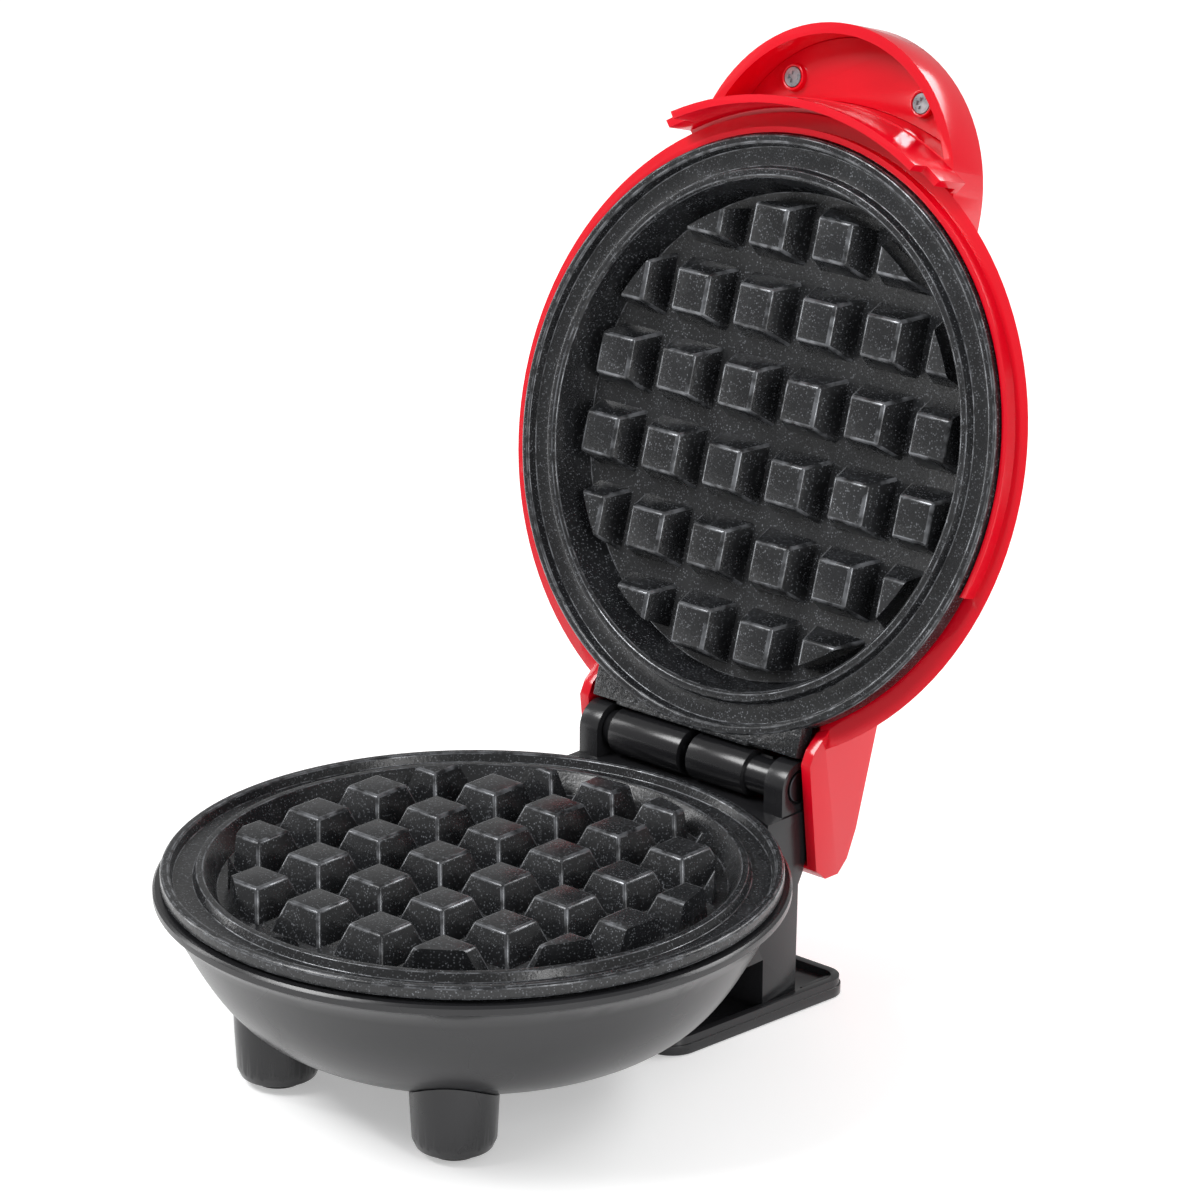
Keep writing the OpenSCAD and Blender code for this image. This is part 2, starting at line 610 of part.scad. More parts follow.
// Recessed panel inside the handle.
module handle_insert() color([0.72, 0.02, 0.045]) on_lid() difference() {
    union() {
        handle_body(grip_wall + 0.05, panel_z, panel_z + panel_t);
        handle_screw_seats() translate([0, 0, panel_z - 1.3]) cylinder(d = 5.6, h = 1.6, $fn = 48);
    }
    translate([0, 0, -20]) cylinder(r = skirt_r + 0.35, h = 60, $fn = 144);
    handle_screw_seats() translate([0, 0, 8]) cylinder(d = 2.8, h = 8, $fn = 32);
    handle_screw_seats() translate([0, 0, 8]) cylinder(d = 4.3, h = panel_z - 8, $fn = 48);
}
module handle_screws() color([0.78, 0.78, 0.80]) on_lid()
    handle_screw_seats() translate([0, 0, panel_z]) pan_screw(4, 1.2, 2.4, 2.6);

module lamp_lens() color([0.90, 0.55, 0.10, 0.8]) on_lid() translate([0, lamp_y, 0]) {
    translate([0, 0, 23]) cylinder(d = 5.9, h = 5.2, $fn = 48);
    translate([0, 0, 22.4]) cylinder(d = 8, h = 1.4, $fn = 48);
}

bowl();
lower_plate();
lower_heater();
lower_reflector();
plate_screws();
terminal_block();
earth_lug();
foot_left();
foot_right();
foot_pads();
foot_screws();
base_plate();
base_pads();
wrap_core();
core_screws();
column();
column_screws();
cord_gland();
hinge_pin();
hinge_leaf();
leaf_screws();
upper_plate();
upper_heater();
upper_reflector();
lid_studs();
thermostat();
thermal_fuse();
lid_shell();
handle_insert();
handle_screws();
lamp_lens();
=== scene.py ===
"""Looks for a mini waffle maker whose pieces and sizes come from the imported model."""

import json
import math

import bmesh
import bpy
from mathutils import Euler, Matrix, Vector


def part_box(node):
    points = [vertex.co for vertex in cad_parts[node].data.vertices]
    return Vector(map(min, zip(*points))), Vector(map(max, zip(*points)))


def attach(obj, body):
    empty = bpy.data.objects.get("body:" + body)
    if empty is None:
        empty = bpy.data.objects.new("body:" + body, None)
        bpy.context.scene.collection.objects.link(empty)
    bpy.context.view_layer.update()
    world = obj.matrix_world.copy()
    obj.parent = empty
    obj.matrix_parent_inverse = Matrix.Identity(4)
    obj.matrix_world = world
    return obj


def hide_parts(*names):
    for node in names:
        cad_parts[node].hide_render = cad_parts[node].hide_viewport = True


bl_info = {
    "name": "Mini Waffle Maker Finishes",
    "version": (1, 0, 0),
    "blender": (4, 5, 0),
    "location": "View3D > Sidebar > Waffle Maker",
    "description": "Builds the cast plates, plastic shells and materials of a small hinged waffle maker",
    "category": "Object",
}

MM = 0.001

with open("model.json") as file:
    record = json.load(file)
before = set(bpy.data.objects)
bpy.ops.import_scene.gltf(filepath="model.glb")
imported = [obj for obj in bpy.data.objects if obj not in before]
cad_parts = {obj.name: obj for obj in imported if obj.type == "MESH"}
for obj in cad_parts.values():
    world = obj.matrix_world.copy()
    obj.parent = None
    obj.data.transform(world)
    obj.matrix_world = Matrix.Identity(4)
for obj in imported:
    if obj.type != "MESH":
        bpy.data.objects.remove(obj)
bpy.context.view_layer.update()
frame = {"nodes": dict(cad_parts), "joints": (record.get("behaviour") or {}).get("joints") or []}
HINGE_JOINT = frame["joints"][0]
HINGE = Vector(HINGE_JOINT["pos_m"])
OPEN_ANGLE = math.radians(HINGE_JOINT["range_deg"][1])


def swing():
    """The turn about the hinge that carries a shut lid to its open rest place."""
    there = Matrix.Translation(HINGE)
    return there @ Euler((-OPEN_ANGLE, 0, 0)).to_matrix().to_4x4() @ there.inverted()


def lower_plate_top():
    """Centre of the lower plate's rim plane and its radius."""
    low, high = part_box("bowl")
    plate_low, plate_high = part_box("lower_plate")
    radius = (plate_high.x - plate_low.x) / 2
    centre_y = (plate_low.y + plate_high.y) / 2
    return Vector((0, centre_y, high.z + 3.2 * MM)), radius


PLATE_CENTRE, PLATE_R = lower_plate_top()
SHUT_GAP = 0.4 * MM


# ---------- settings ----------

class WafflePlateSettings(bpy.types.PropertyGroup):
    """Sizes of the two cooking plates."""

    pitch: bpy.props.FloatProperty(
        name="Pitch", description="Spacing of the pyramids", default=16.4 * MM, unit="LENGTH")
    foot: bpy.props.FloatProperty(
        name="Foot", description="Width of a pyramid at its foot", default=13.6 * MM, unit="LENGTH")
    top: bpy.props.FloatProperty(
        name="Top", description="Width of a pyramid at its top", default=8.4 * MM, unit="LENGTH")
    height: bpy.props.FloatProperty(
        name="Height", description="Height of a pyramid", default=6.2 * MM, unit="LENGTH")
    rounding: bpy.props.FloatProperty(
        name="Rounding", description="Radius of the cast edges", default=0.6 * MM, unit="LENGTH")
    low_deep: bpy.props.FloatProperty(
        name="Lower depth", description="Depth of the lower cooking floor", default=4.5 * MM, unit="LENGTH")
    up_deep: bpy.props.FloatProperty(
        name="Upper depth", description="Depth of the upper cooking floor", default=9.5 * MM, unit="LENGTH")
    thickness: bpy.props.FloatProperty(
        name="Thickness", description="Thickness of the cast floor", default=2.4 * MM, unit="LENGTH")


class WaffleFinishSettings(bpy.types.PropertyGroup):
    """Colours of the finishes, as sRGB hex values."""

    red: bpy.props.StringProperty(name="Red ABS", description="Colour of the lid shell", default="#E0031F")
    black: bpy.props.StringProperty(name="Black ABS", description="Colour of the bowl", default="#222224")
    coating: bpy.props.StringProperty(
        name="Coating", description="Colour of the non-stick coating", default="#1D1E20")


class WaffleStageSettings(bpy.types.PropertyGroup):
    """The camera, lamps and floor."""

    azimuth: bpy.props.FloatProperty(
        name="Azimuth", description="Camera angle round the object", default=math.radians(41.98),
        subtype="ANGLE")
    elevation: bpy.props.FloatProperty(
        name="Elevation", description="Camera angle above the horizon", default=math.radians(19.39),
        subtype="ANGLE")
    roll: bpy.props.FloatProperty(
        name="Roll", description="Camera roll", default=math.radians(0.26), subtype="ANGLE")
    distance: bpy.props.FloatProperty(
        name="Distance", description="Camera distance from its target", default=1.0926, unit="LENGTH")
    lens: bpy.props.FloatProperty(
        name="Lens", description="Focal length in millimetres on a 36 mm sensor", default=150.3)
    target: bpy.props.FloatVectorProperty(
        name="Target", description="Point the camera looks at", default=(-0.0750, 0.0666, 0.0474),
        subtype="TRANSLATION")
    key_power: bpy.props.FloatProperty(name="Key", description="Power of the large soft lamp", default=9.0)


# ---------- materials ----------

def tint(code):
    """Linear colour of an sRGB hex value."""
    parts = [int(code[i:i + 2], 16) / 255 for i in (1, 3, 5)]
    return tuple(c / 12.92 if c <= 0.04045 else ((c + 0.055) / 1.055) ** 2.4 for c in parts) + (1.0,)


def add_node(tree, kind, settings=(), values=(), links=()):
    """Adds a node, sets its properties and socket values, and links (socket, other node, other socket)."""
    made = tree.nodes.new(kind)
    for name, value in dict(settings).items():
        setattr(made, name, value)
    for name, value in dict(values).items():
        made.inputs[name].default_value = value
    for socket, other, output in links:
        tree.links.new(other.outputs[output], made.inputs[socket])
    return made


def start_material(name, **values):
    """A material with one principled shader, its tree, and the shader."""
    made = bpy.data.materials.new(name)
    made.use_nodes = True
    tree = made.node_tree
    shader = tree.nodes["Principled BSDF"]
    for key, value in values.items():
        shader.inputs[key.replace("_", " ")].default_value = value
    return made, tree, shader


def place_node(tree):
    return add_node(tree, "ShaderNodeTexCoord")


def grain(tree, place, size, detail=2.0, roughness=0.5):
    """Noise whose features are about size metres across."""
    return add_node(tree, "ShaderNodeTexNoise", values={"Scale": 0.6 / size, "Detail": detail,
                    "Roughness": roughness}, links=[("Vector", place, "Object")])


def ramp(tree, source, output, low, high, dark, light):
    """Colour ramp between two colours over a stretch of the source's value."""
    made = add_node(tree, "ShaderNodeValToRGB", links=[("Fac", source, output)])
    made.color_ramp.elements[0].position = low
    made.color_ramp.elements[1].position = high
    made.color_ramp.elements[0].color = dark
    made.color_ramp.elements[1].color = light
    return made


def spread(tree, source, output, low, high, to_low, to_high):
    """Maps a stretch of the source's value to another range."""
    return add_node(tree, "ShaderNodeMapRange", values={"From Min": low, "From Max": high,
                    "To Min": to_low, "To Max": to_high}, links=[("Value", source, output)])


def bump(tree, shader, source, output, height, strength=1.0, under=None):
    """Bump from a value, height in metres, over an earlier bump."""
    links = [("Height", source, output)]
    if under is not None:
        links.append(("Normal", under, "Normal"))
    made = add_node(tree, "ShaderNodeBump", values={"Strength": strength, "Distance": height}, links=links)
    tree.links.new(made.outputs["Normal"], shader.inputs["Normal"])
    return made


def coated_cast_aluminium(rough=False):
    """Sand-finished cast aluminium under a sprayed PTFE coat: charcoal, half matt, with fine pale flecks."""
    colour = bpy.context.scene.waffle_finish.coating
    name = "coated_cast_aluminium_raw" if rough else "coated_cast_aluminium"
    made, tree, shader = start_material(name, Roughness=0.36, Metallic=0.0)
    place = place_node(tree)
    # slow colour drift of the sprayed coat, about 9 mm across
    drift = grain(tree, place, 9 * MM, 3.0)
    base = tint(colour)
    body = ramp(tree, drift, "Fac", 0.35, 0.68, tuple(c * 0.78 for c in base[:3]) + (1,),
                tuple(c * 1.22 for c in base[:3]) + (1,))
    # pale mica flecks; the real ones are about 0.1 mm, drawn at 0.4 mm so that they show
    cells = add_node(tree, "ShaderNodeTexVoronoi", values={"Scale": 1 / (0.42 * MM)},
                     links=[("Vector", place, "Object")])
    chance = add_node(tree, "ShaderNodeSeparateColor", links=[("Color", cells, "Color")])
    picked = spread(tree, chance, "Red", 0.45, 0.95, 0.0, 1.0)
    dot = spread(tree, cells, "Distance", 0.22, 0.46, 1.0, 0.0)
    patch = grain(tree, place, 5 * MM, 2.0)
    thick = spread(tree, patch, "Fac", 0.35, 0.65, 0.35, 1.0)
    fleck = add_node(tree, "ShaderNodeMath", {"operation": "MULTIPLY"},
                     links=[(0, picked, "Result"), (1, dot, "Result")])
    fleck = add_node(tree, "ShaderNodeMath", {"operation": "MULTIPLY"},
                     links=[(0, fleck, "Value"), (1, thick, "Result")])
    mixed = add_node(tree, "ShaderNodeMix", {"data_type": "RGBA"}, links=[("Factor", fleck, "Value")])
    tree.links.new(body.outputs["Color"], mixed.inputs[6])
    mixed.inputs[7].default_value = tint("#808388")
    tree.links.new(mixed.outputs[2], shader.inputs["Base Color"])
    gloss = spread(tree, patch, "Fac", 0.3, 0.7, 0.22, 0.32)
    tree.links.new(gloss.outputs["Result"], shader.inputs["Roughness"])
    fine = grain(tree, place, 0.45 * MM, 2.0)
    coat = bump(tree, shader, fine, "Fac", 0.07 * MM, 0.7)
    if rough:
        sand = grain(tree, place, 1.1 * MM, 4.0, 0.65)
        bump(tree, shader, sand, "Fac", 0.5 * MM, 0.9, coat)
    return made


def painted_highlight_edge():
    """PTFE coat over a rounded cast edge: glossier and slightly metallic, with a paler colour painted along it
    as a highlight line.
    """
    made, tree, shader = start_material("painted_highlight_edge", Roughness=0.2, Metallic=0.35)
    place = place_node(tree)
    patchy = grain(tree, place, 1.6 * MM, 3.0)
    # the pale end of this ramp is a painted highlight on the bevels, made patchy by the noise
    body = ramp(tree, patchy, "Fac", 0.38, 0.64, tint("#2C2D2F"), tint("#77797D"))
    tree.links.new(body.outputs["Color"], shader.inputs["Base Color"])
    polish = spread(tree, patchy, "Fac", 0.3, 0.7, 0.3, 0.16)
    tree.links.new(polish.outputs["Result"], shader.inputs["Roughness"])
    bump(tree, shader, patchy, "Fac", 0.03 * MM, 0.4)
    return made


def red_abs():
    """Injection moulded ABS from a polished tool: saturated red, high gloss, faint sink waviness."""
    colour = tint(bpy.context.scene.waffle_finish.red)
    made, tree, shader = start_material("glossy_red_abs", Roughness=0.16, IOR=1.5)
    place = place_node(tree)
    drift = grain(tree, place, 30 * MM, 2.0)
    body = ramp(tree, drift, "Fac", 0.3, 0.7, tuple(c * 0.95 for c in colour[:3]) + (1,),
                tuple(min(1, c * 1.04) for c in colour[:3]) + (1,))
    tree.links.new(body.outputs["Color"], shader.inputs["Base Color"])
    wave = grain(tree, place, 9 * MM, 1.0)
    soft = bump(tree, shader, wave, "Fac", 0.12 * MM, 0.25)
    peel = grain(tree, place, 1.2 * MM, 2.0)
    bump(tree, shader, peel, "Fac", 0.02 * MM, 0.3, soft)
    polish = spread(tree, drift, "Fac", 0.3, 0.7, 0.13, 0.2)
    tree.links.new(polish.outputs["Result"], shader.inputs["Roughness"])
    return made


def black_abs(name="satin_black_abs", colour=None, low=0.22, high=0.30, texture=0.015):
    """Injection moulded ABS from a fine spark-eroded tool: soft black, satin, with a fine even grain."""
    colour = tint(colour or bpy.context.scene.waffle_finish.black)
    made, tree, shader = start_material(name, Roughness=0.35, IOR=1.5)
    place = place_node(tree)
    drift = grain(tree, place, 22 * MM, 3.0)
    body = ramp(tree, drift, "Fac", 0.3, 0.7, tuple(c * 0.86 for c in colour[:3]) + (1,),
                tuple(c * 1.12 for c in colour[:3]) + (1,))
    tree.links.new(body.outputs["Color"], shader.inputs["Base Color"])
    polish = spread(tree, drift, "Fac", 0.3, 0.7, low, high)
    tree.links.new(polish.outputs["Result"], shader.inputs["Roughness"])
    fine = grain(tree, place, 0.5 * MM, 2.0)
    bump(tree, shader, fine, "Fac", texture * MM, 0.5)
    return made


def zinc_steel():
    """Zinc plated steel: pale, slightly blue metal with a faint drawn grain."""
    made, tree, shader = start_material("zinc_plated_steel", Metallic=1.0, Roughness=0.3)
    place = place_node(tree)
    haze = grain(tree, place, 1.5 * MM, 3.0)
    body = ramp(tree, haze, "Fac", 0.3, 0.7, tint("#A9ADB2"), tint("#D0D3D6"))
    tree.links.new(body.outputs["Color"], shader.inputs["Base Color"])
    polish = spread(tree, haze, "Fac", 0.3, 0.7, 0.22, 0.38)
    tree.links.new(polish.outputs["Result"], shader.inputs["Roughness"])
    bump(tree, shader, haze, "Fac", 0.02 * MM, 0.4)
    return made


def blackened_steel():
    """Turned steel pin with a black oxide finish: dark metal with fine turning rings."""
    made, tree, shader = start_material("black_oxide_steel", Metallic=1.0, Roughness=0.34)
    place = place_node(tree)
    rings = add_node(tree, "ShaderNodeTexWave", {"bands_direction": "X"},
                     values={"Scale": 1 / (3.2 * MM), "Distortion": 0.6, "Detail": 2.0},
                     links=[("Vector", place, "Object")])
    body = ramp(tree, rings, "Fac", 0.2, 0.8, tint("#3A3B3E"), tint("#525458"))
    tree.links.new(body.outputs["Color"], shader.inputs["Base Color"])
    bump(tree, shader, rings, "Fac", 0.02 * MM, 0.4)
    return made


def heater_steel():
    """Stainless heater sheath after use: warm grey metal, mottled by heat."""
    made, tree, shader = start_material("heat_tinted_steel", Metallic=1.0, Roughness=0.42)
    place = place_node(tree)
    stain = grain(tree, place, 6 * MM, 4.0, 0.6)
    body = ramp(tree, stain, "Fac", 0.35, 0.7, tint("#6B5F52"), tint("#A39A8E"))
    tree.links.new(body.outputs["Color"], shader.inputs["Base Color"])
    polish = spread(tree, stain, "Fac", 0.3, 0.7, 0.5, 0.34)
    tree.links.new(polish.outputs["Result"], shader.inputs["Roughness"])
    bump(tree, shader, stain, "Fac", 0.04 * MM, 0.4)
    return made


def rolled_aluminium():
    """Mill-finish aluminium sheet: bright metal with straight rolling lines."""
    made, tree, shader = start_material("rolled_aluminium", Metallic=1.0, Roughness=0.28)
    place = place_node(tree)
    lay = add_node(tree, "ShaderNodeMapping", values={"Scale": (1, 14, 1)}, links=[("Vector", place, "Object")])
    lines = add_node(tree, "ShaderNodeTexNoise", values={"Scale": 0.6 / (4 * MM), "Detail": 3.0},
                     links=[("Vector", lay, "Vector")])
    body = ramp(tree, lines, "Fac", 0.35, 0.65, tint("#C4C6C8"), tint("#E2E3E4"))
    tree.links.new(body.outputs["Color"], shader.inputs["Base Color"])
    bump(tree, shader, lines, "Fac", 0.02 * MM, 0.35)
    return made


def white_ceramic():
    """Unglazed steatite: off-white, matt and slightly grainy."""
    made, tree, shader = start_material("unglazed_steatite", Roughness=0.62)
    place = place_node(tree)
    speck = grain(tree, place, 0.8 * MM, 4.0, 0.6)
    body = ramp(tree, speck, "Fac", 0.3, 0.7, tint("#D2CDBF"), tint("#EAE6DA"))
    tree.links.new(body.outputs["Color"], shader.inputs["Base Color"])
    bump(tree, shader, speck, "Fac", 0.05 * MM, 0.5)
    return made


def stamped_brass():
    """Stamped brass lug: warm yellow metal, lightly tarnished."""
    made, tree, shader = start_material("stamped_brass", Metallic=1.0, Roughness=0.33)
    place = place_node(tree)
    tarnish = grain(tree, place, 2 * MM, 4.0)
    body = ramp(tree, tarnish, "Fac", 0.3, 0.7, tint("#9C7B34"), tint("#D9B45C"))
    tree.links.new(body.outputs["Color"], shader.inputs["Base Color"])
    bump(tree, shader, tarnish, "Fac", 0.02 * MM, 0.3)
    return made


def matt_rubber(name="matt_rubber", dark="#1B1B1C", light="#2A2A2B"):
    """Moulded silicone rubber: very dark, matt, with a dry grain."""
    made, tree, shader = start_material(name, Roughness=0.7)
    place = place_node(tree)
    dry = grain(tree, place, 0.6 * MM, 4.0, 0.6)
    body = ramp(tree, dry, "Fac", 0.3, 0.7, tint(dark), tint(light))
    tree.links.new(body.outputs["Color"], shader.inputs["Base Color"])
    bump(tree, shader, dry, "Fac", 0.06 * MM, 0.5)
    return made


def amber_lens():
    """Clear amber polycarbonate lens: glossy, lit through, with a faint moulded ripple."""
    made, tree, shader = start_material("amber_polycarbonate", Roughness=0.12, IOR=1.58)
    shader.inputs["Transmission Weight"].default_value = 0.35
    place = place_node(tree)
    ripple = grain(tree, place, 1.6 * MM, 2.0)
    body = ramp(tree, ripple, "Fac", 0.3, 0.7, tint("#E8871E"), tint("#F6A43A"))
    tree.links.new(body.outputs["Color"], shader.inputs["Base Color"])
    bump(tree, shader, ripple, "Fac", 0.03 * MM, 0.4)
    return made


FINISHES = {
    "coated_cast_aluminium": coated_cast_aluminium,
    # edge material: paler colour painted on bevels as a highlight line
    "painted_highlight_edge": painted_highlight_edge,
    "coated_cast_aluminium_raw": lambda: coated_cast_aluminium(True),
    "glossy_red_abs": red_abs,
    "satin_black_abs": black_abs,
    "gloss_black_nylon": lambda: black_abs("gloss_black_nylon", "#1E1E20", 0.2, 0.28, 0.02),
    "dark_phenolic": lambda: black_abs("dark_phenolic", "#2A2723", 0.4, 0.55, 0.06),
    "zinc_plated_steel": zinc_steel,
    "black_oxide_steel": blackened_steel,
    "heat_tinted_steel": heater_steel,
    "rolled_aluminium": rolled_aluminium,
    "unglazed_steatite": white_ceramic,
    "stamped_brass": stamped_brass,
    "matt_rubber": matt_rubber,
    "gland_rubber": lambda: matt_rubber("gland_rubber", "#121213", "#1E1E1F"),
    "amber_polycarbonate": amber_lens,
}


def finish(name):
    """The named material, made the first time it is asked for."""
    return bpy.data.materials.get(name) or FINISHES[name]()


def paint(piece, *names):
    """Gives a piece its materials, in slot order."""
    piece.data.materials.clear()
    for name in names:
        piece.data.materials.append(finish(name))


# ---------- modelling by hand ----------

def clear_selection():
    if bpy.context.object and bpy.context.object.mode != "OBJECT":
        bpy.ops.object.mode_set(mode="OBJECT")
    bpy.ops.object.select_all(action="DESELECT")


def only(piece):
    """Makes the piece the one selected and active object."""
    clear_selection()
    piece.select_set(True)
    bpy.context.view_layer.objects.active = piece


def new_piece(name):
    """Names the active object and its mesh."""
    piece = bpy.context.object
    piece.name = name
    piece.data.name = name
    return piece


def apply_all(piece):
    """Applies every modifier of a piece in order."""
    only(piece)
    for modifier in list(piece.modifiers):
        bpy.ops.object.modifier_apply(modifier=modifier.name)


def settle(piece):
    """Moves the piece's place into its mesh."""
    only(piece)
    bpy.ops.object.transform_apply(location=True, rotation=True, scale=True)


def round_edges(piece, width, segments=3, angle=30, smooth=32, highlight_edges=False):
    """Bevels the sharp edges of a piece, the bevels in its second material with a painted highlight when asked,
    then shades it smooth by angle.
    """
    only(piece)
    bevel = piece.modifiers.new("rounding", "BEVEL")
    bevel.width = width
    bevel.segments = segments
    bevel.limit_method = "ANGLE"
    bevel.angle_limit = math.radians(angle)
    bevel.miter_outer = "MITER_ARC"
    bevel.use_clamp_overlap = True
    # slot 1 holds the edge material whose paler colour is a painted highlight
    bevel.material = 1 if highlight_edges else -1
    apply_all(piece)
    bpy.ops.object.shade_smooth_by_angle(angle=math.radians(smooth))


def tidy_normals(piece):
    """Merges doubles and points the faces outwards."""
    only(piece)
    bpy.ops.object.mode_set(mode="EDIT")
    bpy.ops.mesh.select_all(action="SELECT")
    bpy.ops.mesh.remove_doubles(threshold=1e-6)
    bpy.ops.mesh.normals_make_consistent(inside=False)
    bpy.ops.object.mode_set(mode="OBJECT")


def cut(piece, cutter, operation="DIFFERENCE"):
    """Boolean of piece with cutter, which is then removed."""
    only(piece)
    tool = piece.modifiers.new("cut", "BOOLEAN")
    tool.operation = operation
    tool.solver = "EXACT"
    tool.object = cutter
    apply_all(piece)
    bpy.data.objects.remove(cutter)


def join(name, parts):
    """Joins the parts into one object."""
    clear_selection()
    for part in parts:
        part.select_set(True)
    bpy.context.view_layer.objects.active = parts[0]
    if len(parts) > 1:
        bpy.ops.object.join()
    return new_piece(name)


def block(name, low, high):
    """A box between two corners."""
    clear_selection()
    low, high = Vector(low), Vector(high)
    bpy.ops.mesh.primitive_cube_add(size=1, location=(low + high) / 2, scale=high - low)
    piece = new_piece(name)
    settle(piece)
    return piece


def drum(name, centre, radius, height, axis="Z", sides=64):
    """A cylinder centred at a point along X, Y or Z."""
    turn = {"X": (0, math.pi / 2, 0), "Y": (math.pi / 2, 0, 0), "Z": (0, 0, 0)}[axis]
    clear_selection()
    bpy.ops.mesh.primitive_cylinder_add(vertices=sides, radius=radius, depth=height, location=centre,
                                        rotation=turn)
    piece = new_piece(name)
    settle(piece)
    return piece


def turned(name, outline, centre, steps=144):
    """Draws a closed outline of (radius, height) by extruding a point, and spins it round Z."""
    clear_selection()
    bpy.ops.mesh.primitive_plane_add(size=MM, location=centre)
    piece = new_piece(name)
    settle(piece)
    bpy.ops.object.mode_set(mode="EDIT")
    bpy.ops.mesh.select_all(action="SELECT")
    bpy.ops.mesh.merge(type="CENTER")
    first = outline[0]
    bpy.ops.transform.translate(value=(first[0], 0, first[1]))
    for last, here in zip(outline, outline[1:]):
        step = (here[0] - last[0], 0, here[1] - last[1])
        bpy.ops.mesh.extrude_region_move(TRANSFORM_OT_translate={"value": step})
    bpy.ops.mesh.select_all(action="SELECT")
    bpy.ops.mesh.spin(steps=steps, angle=math.tau, center=centre, axis=(0, 0, 1))
    bpy.ops.object.mode_set(mode="OBJECT")
    tidy_normals(piece)
    return piece


def from_cad(name, node, width, segments=2, angle=32, flat=0.4, smooth=32):
    """A merged copy of a CAD node with its flats made whole and its edges rounded."""
    clear_selection()
    source = frame["nodes"][node]
    piece = bpy.data.objects.new(name, source.data.copy())
    bpy.context.scene.collection.objects.link(piece)
    only(piece)
    bpy.ops.object.mode_set(mode="EDIT")
    bpy.ops.mesh.select_all(action="SELECT")
    bpy.ops.mesh.remove_doubles(threshold=2e-6)
    bpy.ops.mesh.dissolve_limited(angle_limit=math.radians(flat))
    bpy.ops.object.mode_set(mode="OBJECT")
    if width:
        round_edges(piece, width, segments, angle, smooth)
    else:
        bpy.ops.object.shade_smooth_by_angle(angle=math.radians(smooth))
    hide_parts(node)
    return piece


def keep(piece, body, slot, *finishes):
    """Paints a piece and makes it ride on its body."""
    paint(piece, *finishes)
    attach(piece, body)


def open_lid(piece):
    """Swings a piece that was modelled on the shut lid to its rest place."""
    piece.matrix_world = swing() @ piece.matrix_world
    settle(piece)


# ---------- cooking plates ----------

def rim_outline(deep):
    """Outline of a plate's top, from the floor's edge over the ridge and channel to the rim."""
    floor_r = PLATE_R - 10.8 * MM
    points = [(0.0, -deep), (floor_r, -deep), (floor_r + 2.0 * MM, -0.7 * MM), (floor_r + 2.6 * MM, -0.15 * MM),
              (floor_r + 3.9 * MM, -0.15 * MM), (floor_r + 4.5 * MM, -1.9 * MM),
              (PLATE_R - 2.4 * MM, -1.9 * MM), (PLATE_R - 1.9 * MM, -0.2 * MM), (PLATE_R - 1.5 * MM, 0.0),
              (PLATE_R - 0.4 * MM, 0.0), (PLATE_R, -0.4 * MM)]
    return points, floor_r


def pyramids(name, centre, shift_x, shift_y, field_r):
    """A field of square pyramids, copied from one, clipped by the round floor and rounded."""
    sizes = bpy.context.scene.waffle_plates
    sink = 0.8 * MM
    clear_selection()
    bpy.ops.mesh.primitive_cube_add(size=1, location=centre + Vector((0, 0, (sizes.height - sink) / 2)),
                                    scale=(sizes.foot, sizes.foot, sizes.height + sink))
    one = new_piece(name)
    settle(one)
    bpy.ops.object.mode_set(mode="EDIT")
    shape = bmesh.from_edit_mesh(one.data)
    for face in shape.faces:
        face.select_set(face.normal.z > 0.9)
    bmesh.update_edit_mesh(one.data)
    taper = sizes.top / sizes.foot
    bpy.ops.transform.resize(value=(taper, taper, 1), center_override=centre)
    bpy.ops.object.mode_set(mode="OBJECT")
    # second material: painted highlight on the rounded pyramid edges
    paint(one, "coated_cast_aluminium", "painted_highlight_edge")
    round_edges(one, sizes.rounding, 3, 35, 40, True)
    copies = []
    reach = field_r + sizes.foot
    for i in range(-4, 5):
        for j in range(-4, 5):
            where = Vector((i * sizes.pitch + shift_x, j * sizes.pitch + shift_y, 0))
            near = Vector((max(0, abs(where.x) - sizes.foot / 2), max(0, abs(where.y) - sizes.foot / 2)))
            if near.length > field_r or where.length > reach:
                continue
            copy = bpy.data.objects.new(f"{name}_{i}_{j}", one.data.copy())
            copy.location = where
            bpy.context.scene.collection.objects.link(copy)
            copies.append(copy)
    bpy.data.objects.remove(one)
    field = join(name, copies)
    settle(field)
    cut(field, drum("field_edge", centre, field_r, 40 * MM, sides=96), "INTERSECT")
    only(field)
    bpy.ops.object.shade_smooth_by_angle(angle=math.radians(36))
    return field


def lower_cooking_plate():
    """Shallow cast plate with an off-centre pyramid field inside a ridge and an overflow channel."""
    sizes = bpy.context.scene.waffle_plates
    top, floor_r = rim_outline(sizes.low_deep)
    under = sizes.low_deep + sizes.thickness
    outline = top + [(PLATE_R, -2.5 * MM), (PLATE_R - 2 * MM, -2.7 * MM), (PLATE_R - 2.2 * MM, -4.3 * MM),
                     (floor_r + 3.2 * MM, -4.3 * MM), (floor_r + 1.2 * MM, -under), (0.0, -under)]
    dish = turned("lower_dish", outline, PLATE_CENTRE)
    # second material: painted highlight on the rounded rim edges
    paint(dish, "coated_cast_aluminium", "painted_highlight_edge")
    round_edges(dish, 0.16 * MM, 2, 22, 35, True)
    floor = PLATE_CENTRE - Vector((0, 0, sizes.low_deep))
    field = pyramids("lower_pyramids", floor, -0.35 * sizes.pitch, -0.2 * sizes.pitch, floor_r - 2.2 * MM)
    plate = join("lower_cooking_plate", [dish, field])
    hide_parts("lower_plate")
    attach(plate, "base")


